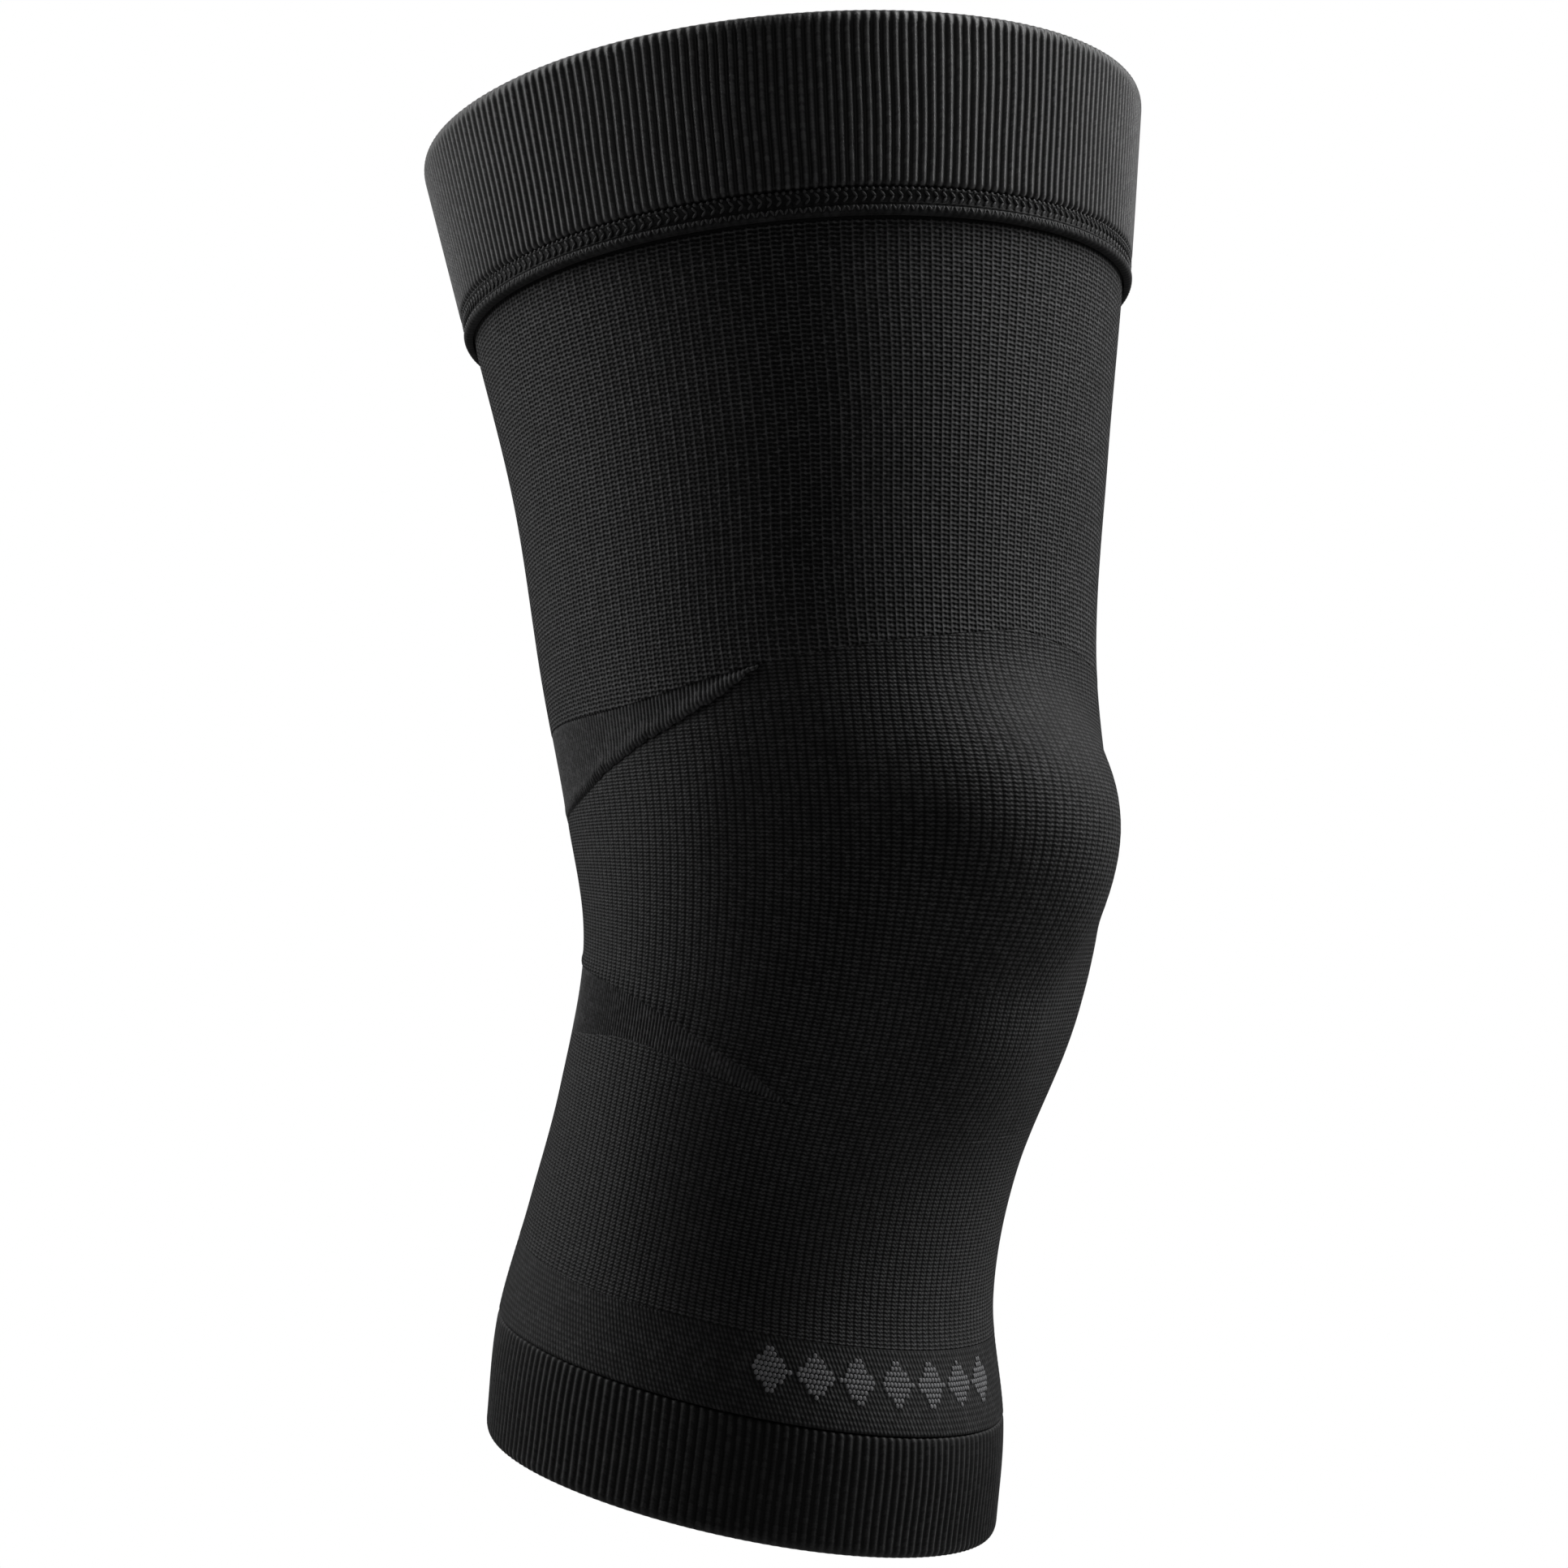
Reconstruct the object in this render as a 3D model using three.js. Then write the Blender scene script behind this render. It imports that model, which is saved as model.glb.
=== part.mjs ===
// A knitted knee sleeve in the form it takes on a slightly bent knee.
// Millimetres, +Z up. The origin is the knee's centre, inside the hollow. The kneecap faces -Y.
import * as THREE from 'three';

// Lengths of the sleeve, from the knee's centre
const LENGTH_ABOVE = 145; // knee centre to the folded top edge
const LENGTH_BELOW = 126.5; // knee centre to the turned bottom edge
const CUFF_HEIGHT = 33.5; // ribs of the thigh cuff, fold to rib ends
const CALF_CUFF_HEIGHT = 23; // ribs of the calf cuff
const SEAM_HEIGHT = 5.0; // stitched strip under the thigh cuff's ribs
const TOP_LAP = 10.5; // how far the body tube runs up inside the thigh cuff
const CALF_LAP = 5; // how far the calf cuff's inner layer runs up behind the body

// Widths at the knee's centre
const KNEE_HALF_WIDTH = 53;
const KNEE_HALF_DEPTH = 53;

// Cloth
const WALL = 1.4; // knit tube
const CUFF_STAND = 1.6; // the thigh cuff's outer face over the body's
const CALF_CUFF_WALL = 2.6; // two layers of the calf cuff
const CALF_LAP_WALL = 0.9; // its inner layer alone
const GAP = 0.3; // clearance between neighbouring pieces
const RIB_DEPTH = 0.45; // crest to valley of the thigh cuff's ribs
const CALF_RIB_DEPTH = 0.3;
const ROLL_STAND = 0.45; // the seam strip's rolled edge over its stitched face
const ROLL_HEIGHT = 1.6;
const EDGE_BEVEL = 0.6; // knit edges are rounded over this much
const WEDGE_DROP = 0.35; // plain wedges lie this much lower than the panels
const FOLD_RISE = 0.55; // puckered edge of the knee panel

// Kneecap and the hollows round it
const CAP_RISE = 9.5;
const TENDON_RISE = 1.2;
const SIDE_DIP = 1.3;
const TENDON_DIP = 1.2;
const BACK_HOLLOW = 2.2;

// Mesh
const SEGMENTS = 48; // columns round the leg
const RIBS_PER_SEGMENT = 5; // thigh cuff
const CALF_RIBS_PER_SEGMENT = 6;

const RIB_ENDS = LENGTH_ABOVE - CUFF_HEIGHT;
const SEAM_LOW = RIB_ENDS - SEAM_HEIGHT;
const BODY_LOW = CALF_CUFF_HEIGHT - LENGTH_BELOW;
const BODY_TOP = RIB_ENDS + TOP_LAP;

// Sections of the leg, top to bottom. at: share of LENGTH_ABOVE, or of LENGTH_BELOW where negative.
// back: how far the section's centre lies behind the knee's, a share of KNEE_HALF_DEPTH.
// tilt: degrees that the section's front is raised. side: share of KNEE_HALF_WIDTH.
// fore and aft: half depths, shares of KNEE_HALF_DEPTH.
const SECTIONS = [
  { at: 1.00, back: 0.30, tilt: 7, side: 1.34, fore: 1.34, aft: 1.43 },
  { at: 0.74, back: 0.22, tilt: 7, side: 1.24, fore: 1.22, aft: 1.28 },
  { at: 0.50, back: 0.15, tilt: 6, side: 1.13, fore: 1.10, aft: 1.17 },
  { at: 0.24, back: 0.09, tilt: 4, side: 1.05, fore: 0.99, aft: 1.11 },
  { at: 0.00, back: 0.02, tilt: -3, side: 1.01, fore: 1.00, aft: 1.03 },
  { at: -0.22, back: 0.08, tilt: -11, side: 0.95, fore: 0.94, aft: 0.90 },
  { at: -0.46, back: 0.26, tilt: -15, side: 0.89, fore: 0.81, aft: 0.91 },
  { at: -0.65, back: 0.40, tilt: -16, side: 0.89, fore: 0.84, aft: 0.96 },
  { at: -0.83, back: 0.50, tilt: -16, side: 0.95, fore: 1.00, aft: 1.00 },
  { at: -1.00, back: 0.57, tilt: -16, side: 0.97, fore: 1.02, aft: 0.96 },
].reverse();

// Rises and dips of the cloth. at: as above. angle: degrees from the front, on both sides where mirrored.
// rise: mm outwards. tall: half height, a share of LENGTH_BELOW. wide: half width in degrees.
const FORMS = [
  { name: 'kneecap', at: 0.01, angle: 0, mirrored: false, rise: CAP_RISE, tall: 0.23, wide: 46 },
  { name: 'tendon', at: -0.30, angle: 0, mirrored: false, rise: TENDON_RISE, tall: 0.14, wide: 20 },
  { name: 'beside_cap', at: -0.03, angle: 56, mirrored: true, rise: -SIDE_DIP, tall: 0.20, wide: 22 },
  { name: 'beside_tendon', at: -0.22, angle: 26, mirrored: true, rise: -TENDON_DIP, tall: 0.15, wide: 18 },
  { name: 'back_hollow', at: -0.05, angle: 180, mirrored: false, rise: -BACK_HOLLOW, tall: 0.30, wide: 40 },
];

// Knit courses at which the body changes, bottom to top, as heights at five angles from the front.
// Each is a share of LENGTH_ABOVE, or of LENGTH_BELOW where negative. rows: mesh rows up to the next course.
// fold: share of FOLD_RISE at the course. drop: share of WEDGE_DROP in the rows above it.
const COURSE_ANGLES = [0, 50, 90, 120, 180];
const COURSES = [
  { name: 'striped_zone_top', heights: [-0.700, -0.700, -0.715, -0.735, -0.745], rows: 4, fold: 0, drop: 0 },
  { name: 'calf_panel_top', heights: [-0.400, -0.372, -0.335, -0.355, -0.375], rows: 2, fold: 0, drop: 1 },
  { name: 'knee_panel_low', heights: [-0.380, -0.352, -0.275, -0.254, -0.245], rows: 9, fold: 0.5, drop: 0 },
  { name: 'knee_panel_top', heights: [0.212, 0.174, 0.088, 0.028, -0.012], rows: 2, fold: 1, drop: 1 },
  { name: 'thigh_panel_low', heights: [0.230, 0.192, 0.152, 0.150, 0.150], rows: 5, fold: 0, drop: 0 },
];
const WEDGE_TIP = 46; // degrees from the front at which the wedges start
const WEDGE_FULL = 74; // and at which their relief is whole

const radians = THREE.MathUtils.degToRad;
const shareToHeight = (share) => share * (share < 0 ? LENGTH_BELOW : LENGTH_ABOVE);

// Smooth curve through a table's values: a cubic whose slopes come from the neighbouring points
function curveThrough(xs, ys) {
  const last = xs.length - 1;
  const slopes = ys.map((_, i) => {
    const low = Math.max(0, i - 1);
    const high = Math.min(last, i + 1);
    return (ys[high] - ys[low]) / (xs[high] - xs[low]);
  });
  return (x) => {
    if (x <= xs[0]) return ys[0] + slopes[0] * (x - xs[0]);
    if (x >= xs[last]) return ys[last] + slopes[last] * (x - xs[last]);
    let i = 0;
    while (x > xs[i + 1]) i += 1;
    const width = xs[i + 1] - xs[i];
    const t = (x - xs[i]) / width;
    const rise = ys[i] * (1 + 2 * t) * (1 - t) ** 2 + ys[i + 1] * t * t * (3 - 2 * t);
    return rise + width * (slopes[i] * t * (1 - t) ** 2 - slopes[i + 1] * t * t * (1 - t));
  };
}

const sectionHeights = SECTIONS.map((row) => shareToHeight(row.at));
const sectionColumn = (name) => curveThrough(sectionHeights, SECTIONS.map((row) => row[name]));
const backAt = sectionColumn('back');
const tiltAt = sectionColumn('tilt');
const sideAt = sectionColumn('side');
const foreAt = sectionColumn('fore');
const aftAt = sectionColumn('aft');

function angleApart(a, b) {
  const turn = Math.abs(a - b) % 360;
  return Math.min(turn, 360 - turn);
}

// Rise of the cloth over the plain sections, in mm
function formRise(height, angle) {
  let total = 0;
  for (const form of FORMS) {
    const up = (height - shareToHeight(form.at)) / (form.tall * LENGTH_BELOW);
    const centres = form.mirrored ? [form.angle, -form.angle] : [form.angle];
    for (const centre of centres) {
      const reach = Math.hypot(up, angleApart(angle, centre) / form.wide);
      if (reach < 1) total += form.rise * (1 - reach * reach) ** 2;
    }
  }
  return total;
}

// A point of the sleeve: height along the leg, degrees from the front towards +X, mm outside the body's face
function surfacePoint(height, angle, out) {
  const turn = radians(angle);
  const depth = KNEE_HALF_DEPTH * (Math.cos(turn) >= 0 ? foreAt(height) : aftAt(height));
  const across = KNEE_HALF_WIDTH * sideAt(height) * Math.sin(turn);
  const behind = -depth * Math.cos(turn);
  const reach = Math.hypot(across, behind);
  const grow = 1 + (formRise(height, angle) + out) / reach;
  const tilt = radians(tiltAt(height));
  return new THREE.Vector3(
    across * grow,
    KNEE_HALF_DEPTH * backAt(height) + behind * grow * Math.cos(tilt),
    height - behind * grow * Math.sin(tilt),
  );
}

// A closed ring of points round the leg. place(angle, k) gives [height, out] at point k.
function ring(count, place) {
  return Array.from({ length: count }, (_, k) => {
    const angle = (k * 360) / count;
    const [height, out] = place(angle, k);
    return surfacePoint(height, angle, out);
  });
}

// Joins two rings, where the finer one's count is a whole multiple of the coarser one's
function joinRings(triangles, lower, upper) {
  const coarse = Math.min(lower.count, upper.count);
  const lowerStep = lower.count / coarse;
  const upperStep = upper.count / coarse;
  const lowerMiddle = Math.floor(lowerStep / 2);
  const upperMiddle = Math.floor(upperStep / 2);
  const lowerAt = (k) => lower.start + (k % lower.count);
  const upperAt = (k) => upper.start + (k % upper.count);
  for (let k = 0; k < coarse; k += 1) {
    for (let i = 0; i < lowerStep; i += 1) {
      const side = i < lowerMiddle ? k : k + 1;
      const tip = upperStep > 1 ? k * upperStep + upperMiddle : side;
      triangles.push(lowerAt(k * lowerStep + i), lowerAt(k * lowerStep + i + 1), upperAt(tip));
    }
    for (let i = 0; i < upperStep; i += 1) {
      const side = i < upperMiddle || upperStep === 1 ? k : k + 1;
      const tip = lowerStep > 1 ? k * lowerStep + lowerMiddle : side;
      triangles.push(lowerAt(tip), upperAt(k * upperStep + i + 1), upperAt(k * upperStep + i));
    }
  }
}

// Closes a loop of rings into one tube wall. The rings run up the outer face, over, and down the inner face.
function wallGeometry(rings) {
  const triangles = [];
  const spans = [];
  for (const row of rings) {
    const before = spans[spans.length - 1];
    spans.push({ start: before ? before.start + before.count : 0, count: row.length });
  }
  spans.forEach((span, r) => joinRings(triangles, span, spans[(r + 1) % spans.length]));
  const geometry = new THREE.BufferGeometry().setFromPoints(rings.flat());
  geometry.setIndex(triangles);
  geometry.computeVertexNormals();
  return geometry;
}

// Body tube
const courseCurves = COURSES.map((course) => {
  const curve = curveThrough(COURSE_ANGLES, course.heights.map(shareToHeight));
  return (angle) => curve(angleApart(angle, 0));
});

// Rows of the body's mesh, bottom to top. inside: the row is kept on the inner face too.
function bodyRows() {
  const plain = (height) => ({ height: () => height, relief: () => 0, inside: true });
  const lapHeight = BODY_LOW + CALF_LAP;
  const rows = [plain(BODY_LOW), plain(lapHeight)];
  const levels = [() => lapHeight, ...courseCurves, () => SEAM_LOW];
  const counts = [1, ...COURSES.map((course) => course.rows)];
  const wedge = (angle) => THREE.MathUtils.smoothstep(angleApart(angle, 0), WEDGE_TIP, WEDGE_FULL);
  counts.forEach((count, level) => {
    const below = COURSES[level - 1];
    const above = COURSES[level];
    for (let i = 1; i <= count; i += 1) {
      const last = i === count;
      const fold = last && above ? above.fold * FOLD_RISE : 0;
      const drop = below && !last ? below.drop * WEDGE_DROP : 0;
      rows.push({
        height: (angle) => THREE.MathUtils.lerp(levels[level](angle), levels[level + 1](angle), i / count),
        relief: (angle) => (fold - drop) * wedge(angle),
        inside: last || i % 2 === 0,
      });
    }
  });
  rows.push(plain(RIB_ENDS), plain(BODY_TOP));
  return rows;
}

function bodyGeometry() {
  const rows = bodyRows();
  const outer = rows.map((row) => ring(SEGMENTS, (angle) => [row.height(angle), row.relief(angle)]));
  const innerRows = rows.filter((row) => row.inside).reverse();
  const inner = innerRows.map((row) => ring(SEGMENTS, (angle) => [row.height(angle), -WALL]));
  return wallGeometry([...outer, ...inner]);
}

const plainRing = (height, out) => ring(SEGMENTS, () => [height, out]);

function ribRing(height, out, ribsPerSegment, depth) {
  return ring(SEGMENTS * ribsPerSegment * 2, (_, k) => [height, out - (k % 2) * depth]);
}

// Rounded fold of a doubled cuff. down: from the fold's edge, out: from the wall's middle,
// both as shares of half the wall. The first row is the ribbed face's end.
const FOLD_PROFILE = [
  { down: 1.8, out: 1 },
  { down: 0.6, out: 0.8 },
  { down: 0, out: 0 },
  { down: 0.6, out: -0.8 },
  { down: 1.8, out: -1 },
];

// Thigh cuff: its ribbed band laps the body's top end on the outside
function cuffGeometry() {
  const half = (CUFF_STAND + WALL) / 2;
  const middle = CUFF_STAND - half;
  const low = RIB_ENDS + GAP;
  const lapTop = BODY_TOP + GAP;
  const ribs = (height) => ribRing(height, CUFF_STAND, RIBS_PER_SEGMENT, RIB_DEPTH);
  const [ribEnd, ...fold] = FOLD_PROFILE;
  return wallGeometry([
    plainRing(low, CUFF_STAND - EDGE_BEVEL),
    ribs(low + EDGE_BEVEL),
    ribs(LENGTH_ABOVE - CUFF_HEIGHT / 2),
    ribs(LENGTH_ABOVE - ribEnd.down * half),
    ...fold.map((row) => plainRing(LENGTH_ABOVE - row.down * half, middle + row.out * half)),
    plainRing(lapTop, -WALL),
    plainRing(lapTop, GAP),
    plainRing(low, GAP),
  ]);
}

// Seam strip: a flat stitched face over a rolled lower edge.
// up: share of ROLL_HEIGHT. stand: share of ROLL_STAND over the stitched face.
const ROLL_PROFILE = [
  { up: 0, stand: -0.9 },
  { up: 0.15, stand: 0.55 },
  { up: 0.5, stand: 1 },
  { up: 0.8, stand: 0.55 },
  { up: 1, stand: 0 },
];

function seamGeometry() {
  const face = CUFF_STAND - RIB_DEPTH / 2;
  return wallGeometry([
    ...ROLL_PROFILE.map((row) => plainRing(SEAM_LOW + row.up * ROLL_HEIGHT, face + row.stand * ROLL_STAND)),
    plainRing(RIB_ENDS - EDGE_BEVEL, face),
    plainRing(RIB_ENDS, face - EDGE_BEVEL),
    plainRing(RIB_ENDS, GAP),
    plainRing(SEAM_LOW, GAP),
  ]);
}

// Calf cuff: flush with the body outside, its inner layer laps behind the body
function calfCuffGeometry() {
  const half = CALF_CUFF_WALL / 2;
  const top = BODY_LOW - GAP;
  const lapTop = BODY_LOW + CALF_LAP;
  const lapOut = -WALL - GAP;
  const ribs = (height) => ribRing(height, 0, CALF_RIBS_PER_SEGMENT, CALF_RIB_DEPTH);
  const [ribEnd, ...fold] = FOLD_PROFILE;
  return wallGeometry([
    ribs(ribEnd.down * half - LENGTH_BELOW),
    ribs(top - EDGE_BEVEL),
    plainRing(top, -EDGE_BEVEL),
    plainRing(top, lapOut),
    plainRing(lapTop, lapOut),
    plainRing(lapTop, lapOut - CALF_LAP_WALL),
    plainRing(top, -CALF_CUFF_WALL),
    ...fold.reverse().map((row) => plainRing(row.down * half - LENGTH_BELOW, row.out * half - half)),
  ]);
}

const sleeve = new THREE.Group();

function addPiece(name, geometry, colour, roughness) {
  const material = new THREE.MeshStandardMaterial({ color: colour, roughness, metalness: 0 });
  const mesh = new THREE.Mesh(geometry, material);
  mesh.name = name;
  sleeve.add(mesh);
}

addPiece('sleeve_body', bodyGeometry(), '#17171a', 0.85);
addPiece('thigh_cuff', cuffGeometry(), '#141417', 0.82);
addPiece('seam_strip', seamGeometry(), '#1a1a1d', 0.8);
addPiece('calf_cuff', calfCuffGeometry(), '#131316', 0.82);

export default sleeve;
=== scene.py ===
# %% [markdown]
# # A knitted knee sleeve
# The sleeve is a seamless knitted tube, shown in the form it takes on a slightly bent knee. It ends in a
# folded, ribbed cuff at the thigh and a smaller one at the calf, and a stitched strip joins the thigh cuff
# to the tube. The frame holds the plain solids at their real size. This notebook dresses them: every surface
# is lofted again from the same few sections, finely enough for the ribs of the knit to be real geometry.

# %% Load the frame
import math
from collections import namedtuple

import bpy
import numpy as np
from mathutils import Matrix, Vector


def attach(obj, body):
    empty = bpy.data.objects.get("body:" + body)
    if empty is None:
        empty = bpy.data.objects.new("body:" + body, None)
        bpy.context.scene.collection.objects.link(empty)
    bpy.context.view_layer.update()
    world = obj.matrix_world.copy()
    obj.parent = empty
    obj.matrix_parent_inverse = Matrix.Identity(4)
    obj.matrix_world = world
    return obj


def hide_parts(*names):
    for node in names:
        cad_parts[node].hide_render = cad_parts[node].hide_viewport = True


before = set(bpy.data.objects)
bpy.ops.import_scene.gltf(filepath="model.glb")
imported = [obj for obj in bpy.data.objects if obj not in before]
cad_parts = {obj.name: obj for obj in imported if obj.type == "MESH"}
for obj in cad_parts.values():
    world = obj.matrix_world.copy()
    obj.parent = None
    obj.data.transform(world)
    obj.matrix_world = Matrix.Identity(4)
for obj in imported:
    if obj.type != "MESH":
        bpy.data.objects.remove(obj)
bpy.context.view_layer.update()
scene = bpy.context.scene
print("nodes in the frame:", sorted(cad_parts))

# %% [markdown]
# ## Camera
# The picture was taken from the sleeve's left front, almost at its own height and looking up by a few
# degrees. A long lens stands about a metre away. The camera aims a little beside the knee's centre, because
# the sleeve sits slightly to the right in the picture, so no lens shift is needed. Lights are placed round
# the knee later in the same way, so one function gives both kinds their directions.

# %% Camera
PICTURE = 1932  # pixels across the picture
KNEE_PIXEL = (1040, 1030)  # where the knee's centre lies in it
CAMERA_SIDE = -45  # degrees from the front, counted towards +X
CAMERA_RISE = -6
DISTANCE = 0.964  # metres from the knee's centre
PIXELS_PER_METRE = 6200  # at the knee's centre
SENSOR = 36.0  # mm
SIGHT = 50  # metres that the camera sees


def towards(azimuth, elevation):
    """The direction from the knee's centre to a place round it. Both angles are in degrees."""
    turn, rise = math.radians(azimuth), math.radians(elevation)
    return Vector((math.sin(turn) * math.cos(rise), -math.cos(turn) * math.cos(rise), math.sin(rise)))


back = towards(CAMERA_SIDE, CAMERA_RISE)
right = towards(CAMERA_SIDE + 90, 0)
up = back.cross(right)
beside = (PICTURE / 2 - KNEE_PIXEL[0]) / PIXELS_PER_METRE
above = (KNEE_PIXEL[1] - PICTURE / 2) / PIXELS_PER_METRE
camera_place = right * beside + up * above + back * DISTANCE

camera_data = bpy.data.cameras.new("camera")
camera_data.sensor_width = SENSOR
camera_data.lens = SENSOR * PIXELS_PER_METRE * DISTANCE / PICTURE
camera_data.clip_end = SIGHT
camera = bpy.data.objects.new("camera", camera_data)
turned = Matrix((right, up, back)).transposed().to_4x4()
camera.matrix_world = Matrix.Translation(camera_place) @ turned
scene.collection.objects.link(camera)
scene.camera = camera
print("lens", round(camera_data.lens, 1), "mm, camera at", [round(x, 3) for x in camera_place])

# %% [markdown]
# ## The leg's form
# A worn sleeve has no shape of its own: it takes the leg's. The leg is described by a few flat sections,
# each an oval with its own width, front depth and back depth, set back and tilted as the knee bends. A
# cubic curve runs through each column of the table, so any height between two sections has a section of its
# own. Heights are shares of the length above or below the knee, and widths are shares of the knee's half
# width.

# %% Sizes of the sleeve
MM = 0.001
LENGTH_ABOVE = 145 * MM
LENGTH_BELOW = 126.5 * MM
CUFF_HEIGHT = 33.5 * MM
CALF_CUFF_HEIGHT = 23 * MM
SEAM_HEIGHT = 5 * MM
TOP_LAP = 10.5 * MM
CALF_LAP = 5 * MM
KNEE_HALF_WIDTH = 53 * MM
KNEE_HALF_DEPTH = 53 * MM
WALL = 1.4 * MM
CUFF_STAND = 1.6 * MM
CALF_CUFF_WALL = 2.6 * MM
CALF_LAP_WALL = 0.9 * MM
GAP = 0.3 * MM
RIB_ENDS = LENGTH_ABOVE - CUFF_HEIGHT
SEAM_LOW = RIB_ENDS - SEAM_HEIGHT
BODY_LOW = CALF_CUFF_HEIGHT - LENGTH_BELOW
BODY_TOP = RIB_ENDS + TOP_LAP

# Place up the leg, way back, degrees of tilt, half width, depth in front and depth behind
Section = namedtuple("Section", "at back tilt side fore aft")
SECTIONS = [
    Section(-1.00, 0.57, -16, 0.97, 1.02, 0.96),
    Section(-0.83, 0.50, -16, 0.95, 1.00, 1.00),
    Section(-0.65, 0.40, -16, 0.89, 0.84, 0.96),
    Section(-0.46, 0.26, -15, 0.89, 0.81, 0.91),
    Section(-0.22, 0.08, -11, 0.95, 0.94, 0.90),
    Section(0.00, 0.02, -3, 1.01, 1.00, 1.03),
    Section(0.24, 0.09, 4, 1.05, 0.99, 1.11),
    Section(0.50, 0.15, 6, 1.13, 1.10, 1.17),
    Section(0.74, 0.22, 7, 1.24, 1.22, 1.28),
    Section(1.00, 0.30, 7, 1.34, 1.34, 1.43),
]

# Rises and dips of the cloth: place up the leg, degrees from the front, on both sides where mirrored,
# rise in mm, half height as a share of LENGTH_BELOW and half width in degrees
Form = namedtuple("Form", "name at angle mirrored rise tall wide")
FORMS = [
    Form("kneecap", 0.01, 0, False, 9.5, 0.23, 46),
    Form("tendon", -0.30, 0, False, 1.2, 0.14, 20),
    Form("beside_cap", -0.03, 56, True, -1.3, 0.20, 22),
    Form("beside_tendon", -0.22, 26, True, -1.2, 0.15, 18),
    Form("back_hollow", -0.05, 180, False, -2.2, 0.30, 40),
]
print("sleeve", round((LENGTH_ABOVE + LENGTH_BELOW) / MM), "mm along the leg,", len(SECTIONS), "sections")

# %% [markdown]
# ## Curves up the leg
# Each column of the table becomes a cubic curve. It passes through the table's values and takes its slope
# there from the neighbouring ones, so the leg swells and narrows without a kink. A formula is handier here
# than a curve object, because it answers for whole arrays of heights at once.


# %% Curves through the table's columns
def curve_through(xs, ys):
    """A smooth curve through the points. Its slopes come from the neighbouring points."""
    xs, ys = np.asarray(xs, float), np.asarray(ys, float)
    last = len(xs) - 1
    low = np.maximum(np.arange(len(xs)) - 1, 0)
    high = np.minimum(np.arange(len(xs)) + 1, last)
    slopes = (ys[high] - ys[low]) / (xs[high] - xs[low])

    def curve(x):
        x = np.asarray(x, float)
        i = np.clip(np.searchsorted(xs, x) - 1, 0, last - 1)
        width = xs[i + 1] - xs[i]
        t = (x - xs[i]) / width
        inside = ys[i] * (1 + 2 * t) * (1 - t) ** 2 + ys[i + 1] * t * t * (3 - 2 * t)
        inside = inside + width * (slopes[i] * t * (1 - t) ** 2 - slopes[i + 1] * t * t * (1 - t))
        below = ys[0] + slopes[0] * (x - xs[0])
        beyond = ys[-1] + slopes[-1] * (x - xs[-1])
        return np.where(x < xs[0], below, np.where(x > xs[-1], beyond, inside))

    return curve


def height_of(share):
    """A share of the length above or below the knee, as a height in metres."""
    return share * (LENGTH_BELOW if share < 0 else LENGTH_ABOVE)


section_heights = [height_of(row.at) for row in SECTIONS]
leg = {
    name: curve_through(section_heights, [getattr(row, name) for row in SECTIONS])
    for name in ("back", "tilt", "side", "fore", "aft")
}
print("curves:", ", ".join(leg))

# %% [markdown]
# ## Points on the sleeve
# Every piece needs the same answer: the point at some height, in some direction and some way outside the
# tube's face. One function gives it. It starts from the oval section and adds the kneecap, the tendon and
# the hollows as soft rises and dips of the cloth.


# %% Points on the sleeve
def angle_apart(a, b):
    """Degrees between two directions round the leg, from 0 to 180."""
    turn = np.abs(a - b) % 360
    return np.minimum(turn, 360 - turn)


def form_rise(height, angle):
    """How far the kneecap, the tendon and the hollows lift or lower the cloth."""
    total = np.zeros(np.broadcast(height, angle).shape)
    for form in FORMS:
        upwards = (height - height_of(form.at)) / (form.tall * LENGTH_BELOW)
        for centre in ((form.angle, -form.angle) if form.mirrored else (form.angle,)):
            reach = np.hypot(upwards, angle_apart(angle, centre) / form.wide)
            total = total + form.rise * MM * (1 - np.minimum(reach, 1) ** 2) ** 2
    return total


def on_sleeve(height, angle, out):
    """Points: height along the leg, degrees from the front towards +X, metres outside the tube's face."""
    given = [np.asarray(value, float) for value in (height, angle, out)]
    height, angle, out = np.broadcast_arrays(*given)
    turn = np.radians(angle)
    depth = KNEE_HALF_DEPTH * np.where(np.cos(turn) >= 0, leg["fore"](height), leg["aft"](height))
    across = KNEE_HALF_WIDTH * leg["side"](height) * np.sin(turn)
    behind = -depth * np.cos(turn)
    grow = 1 + (form_rise(height, angle) + out) / np.hypot(across, behind)
    tilt = np.radians(leg["tilt"](height))
    return np.stack([
        across * grow,
        KNEE_HALF_DEPTH * leg["back"](height) + behind * grow * np.cos(tilt),
        height - behind * grow * np.sin(tilt),
    ], axis=-1)


print("the kneecap's front lies at", on_sleeve(0, 0, 0).round(4))

# %% [markdown]
# ## Lines where the stitch changes
# Knitting goes round in courses. At five heights the machine changes its stitch, and each change is a line
# on the sleeve. Plain wedges start beside the kneecap and open towards the back, which gives the knee its
# bend. The table gives each line's height at five angles from the front, and both sides are alike.

# %% The lines and the wedges
COURSE_ANGLES = [0, 50, 90, 120, 180]
COURSES = {
    "stripes_top": [-0.700, -0.700, -0.705, -0.700, -0.700],
    "calf_panel_top": [-0.400, -0.372, -0.335, -0.355, -0.375],
    "knee_panel_low": [-0.380, -0.352, -0.275, -0.254, -0.245],
    "knee_panel_top": [0.212, 0.180, 0.098, 0.030, -0.012],
    "thigh_panel_low": [0.230, 0.192, 0.152, 0.150, 0.150],
}
UPPER_TIP = 55  # degrees from the front
LOWER_TIP = 44
WEDGE_OPENS = 16  # degrees from a wedge's tip to its whole height


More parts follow.
